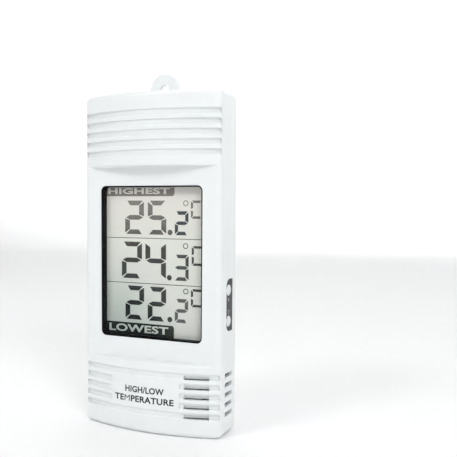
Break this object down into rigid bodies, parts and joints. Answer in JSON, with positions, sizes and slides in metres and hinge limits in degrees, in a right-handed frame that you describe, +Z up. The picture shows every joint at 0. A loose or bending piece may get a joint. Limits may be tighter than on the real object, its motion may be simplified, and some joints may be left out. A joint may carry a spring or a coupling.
{
  "type": "maximum minimum thermometer",
  "caption": "Wall or shelf digital thermometer: tall white plastic case with bulged grooved ends, three-row display, side vents and buttons, a hanging tab and a battery door.",
  "frame": {"origin": "middle of the base the case stands on: half way between the sides, and half way between the back face and the front's crest", "axes": "+Z up along the case, the display faces -Y, +X is the side with the buttons"},
  "size_m": [0.0687, 0.022, 0.1604],
  "materials": {
    "case_plastic": "smooth moulded white plastic with a soft gloss",
    "black_plastic": "black moulded frame",
    "clear_window": "clear moulded window, polished",
    "polariser_film": "grey polarising film",
    "display_glass": "thin display glass",
    "reflector_film": "warm grey diffusing film",
    "contact_rubber": "soft elastomer strip with fine dark layers",
    "circuit_board": "green solder mask on glass fibre board",
    "chip_resin": "black potting resin",
    "component_ceramic": "tan and dark ceramic chip parts",
    "bright_metal": "drawn metal can",
    "sensor_resin": "black epoxy bead",
    "tinned_wire": "tinned wire",
    "dark_plastic": "dark grey fine-textured inlay",
    "button_plastic": "white moulded cap",
    "switch_plastic": "black switch housing",
    "stem_plastic": "natural plastic plunger",
    "cell_sleeve": "printed shrink sleeve with bare metal ends",
    "contact_metal": "nickel-plated spring steel",
    "red_insulation": "red wire insulation",
    "black_insulation": "black wire insulation",
    "screw_steel": "zinc-plated steel"
  },
  "bodies": {
    "case": {"front_cover": "case_plastic", "rear_cover": "case_plastic", "display_bezel": "black_plastic", "window_lens": "clear_window", "display_polariser": "polariser_film", "display_front_glass": "display_glass", "display_rear_glass": "display_glass", "display_reflector": "reflector_film", "contact_strip_upper": "contact_rubber", "contact_strip_lower": "contact_rubber", "main_circuit_board": "circuit_board", "chip_cover": "chip_resin", "surface_mount_parts": "component_ceramic", "crystal_can": "bright_metal", "thermistor_bead": "sensor_resin", "thermistor_leads": "tinned_wire", "button_panel": "dark_plastic", "switch_body_upper": "switch_plastic", "switch_body_lower": "switch_plastic", "switch_board": "circuit_board", "battery_cell": "cell_sleeve", "battery_spring_contact": "contact_metal", "battery_plate_contact": "contact_metal", "wire_positive": "red_insulation", "wire_negative": "black_insulation", "circuit_board_screws": "screw_steel", "case_screws": "screw_steel"},
    "button_upper": {"button_upper": "button_plastic", "switch_stem_upper": "stem_plastic"},
    "button_lower": {"button_lower": "button_plastic", "switch_stem_lower": "stem_plastic"},
    "battery_door": {"battery_door": "case_plastic"}
  },
  "joints": [
    {"name": "button_upper_press", "type": "slide", "parent": "case", "child": "button_upper", "axis": [-1, 0, 0], "range_m": [0, 0.0004], "stiffness_N_per_m": 600, "springref_m": -0.0006},
    {"name": "button_lower_press", "type": "slide", "parent": "case", "child": "button_lower", "axis": [-1, 0, 0], "range_m": [0, 0.0004], "stiffness_N_per_m": 600, "springref_m": -0.0006},
    {"name": "battery_door_hinge", "type": "hinge", "parent": "case", "child": "battery_door", "pos_m": [0, 0.0094, 0.1392], "axis": [1, 0, 0], "range_deg": [0, 85]}
  ]
}
